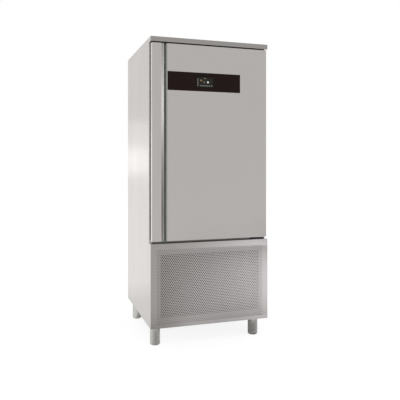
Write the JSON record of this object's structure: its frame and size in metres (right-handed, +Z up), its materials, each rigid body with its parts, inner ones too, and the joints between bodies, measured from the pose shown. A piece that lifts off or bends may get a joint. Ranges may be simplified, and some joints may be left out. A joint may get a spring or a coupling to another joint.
{
  "type": "blast chiller",
  "caption": "Upright blast chiller cabinet on four screw feet: full-height hinged door with grip channel and control glass, tray chamber with fans, refrigeration unit behind a perforated front.",
  "frame": {"origin": "on the floor under the middle of the cabinet", "axes": "+Z up, +X to the right as seen from the front, +Y to the back; the door faces -Y"},
  "size_m": [0.79, 0.8, 1.918],
  "materials": {
    "brushed_steel": "vertically brushed stainless steel",
    "inner_steel": "bright satin stainless steel",
    "galvanised": "galvanised sheet steel",
    "fins": "thin rolled aluminium",
    "copper": "drawn copper tube",
    "black_paint": "black satin paint",
    "dark_plastic": "dark moulded plastic",
    "pale_plastic": "pale moulded plastic",
    "gasket": "soft matt gasket",
    "foam": "rigid foam",
    "control_glass": "dark gloss glass",
    "screen": "dark display"
  },
  "bodies": {
    "cabinet": {"left_side_panel": "brushed_steel", "right_side_panel": "brushed_steel", "top_panel": "brushed_steel", "rear_panel": "galvanised", "rear_service_panel": "galvanised", "base_chassis": "galvanised", "machine_ceiling": "brushed_steel", "front_grille": "brushed_steel", "front_frame": "brushed_steel", "chamber_liner": "inner_steel", "insulation_foam": "foam", "upper_hinge_bracket": "black_paint", "lower_hinge_bracket": "black_paint", "front_left_leg": "brushed_steel", "front_right_leg": "brushed_steel", "rear_left_leg": "brushed_steel", "rear_right_leg": "brushed_steel", "left_tray_rack": "inner_steel", "right_tray_rack": "inner_steel", "fan_panel": "inner_steel", "lower_fan_motor": "black_paint", "lower_fan_guard": "inner_steel", "upper_fan_motor": "black_paint", "upper_fan_guard": "inner_steel", "evaporator_coil": "fins", "evaporator_drip_tray": "inner_steel", "drain_pipe": "pale_plastic", "probe_gland": "dark_plastic", "condenser_coil": "black_paint", "condenser_fan_shroud": "black_paint", "condenser_fan_motor": "black_paint", "compressor": "black_paint", "liquid_receiver": "black_paint", "filter_drier": "copper", "suction_pipe": "copper", "discharge_pipe": "copper", "condenser_outlet_pipe": "copper", "liquid_pipe": "copper", "electrical_box": "galvanised", "condensate_tray": "galvanised", "mains_gland": "dark_plastic"},
    "door": {"door_skin": "brushed_steel", "door_foam": "foam", "door_liner": "inner_steel", "door_gasket": "gasket", "control_housing": "dark_plastic", "control_glass": "control_glass", "control_display": "screen", "upper_hinge_bush": "pale_plastic", "lower_hinge_bush": "pale_plastic"},
    "lower_fan": {"lower_fan_blade": "dark_plastic"},
    "upper_fan": {"upper_fan_blade": "dark_plastic"},
    "condenser_fan": {"condenser_fan_blade": "dark_plastic"},
    "front_left_foot": {"front_left_foot": "dark_plastic"},
    "front_right_foot": {"front_right_foot": "dark_plastic"},
    "rear_left_foot": {"rear_left_foot": "dark_plastic"},
    "rear_right_foot": {"rear_right_foot": "dark_plastic"}
  },
  "joints": [
    {"name": "door_hinge", "type": "hinge", "parent": "cabinet", "child": "door", "pos_m": [0.367, -0.378, 1.26], "axis": [0, 0, 1], "range_deg": [0, 110]},
    {"name": "lower_fan_spin", "type": "hinge", "parent": "cabinet", "child": "lower_fan", "pos_m": [0, 0.2, 0.99125], "axis": [0, 1, 0], "continuous": true},
    {"name": "upper_fan_spin", "type": "hinge", "parent": "cabinet", "child": "upper_fan", "pos_m": [0, 0.2, 1.53375], "axis": [0, 1, 0], "continuous": true},
    {"name": "condenser_fan_spin", "type": "hinge", "parent": "cabinet", "child": "condenser_fan", "pos_m": [-0.098, -0.28, 0.3473], "axis": [0, 1, 0], "continuous": true},
    {"name": "front_left_foot_screw", "type": "slide", "parent": "cabinet", "child": "front_left_foot", "axis": [0, 0, -1], "range_m": [0, 0.05]},
    {"name": "front_right_foot_screw", "type": "slide", "parent": "cabinet", "child": "front_right_foot", "axis": [0, 0, -1], "range_m": [0, 0.05]},
    {"name": "rear_left_foot_screw", "type": "slide", "parent": "cabinet", "child": "rear_left_foot", "axis": [0, 0, -1], "range_m": [0, 0.05]},
    {"name": "rear_right_foot_screw", "type": "slide", "parent": "cabinet", "child": "rear_right_foot", "axis": [0, 0, -1], "range_m": [0, 0.05]}
  ]
}
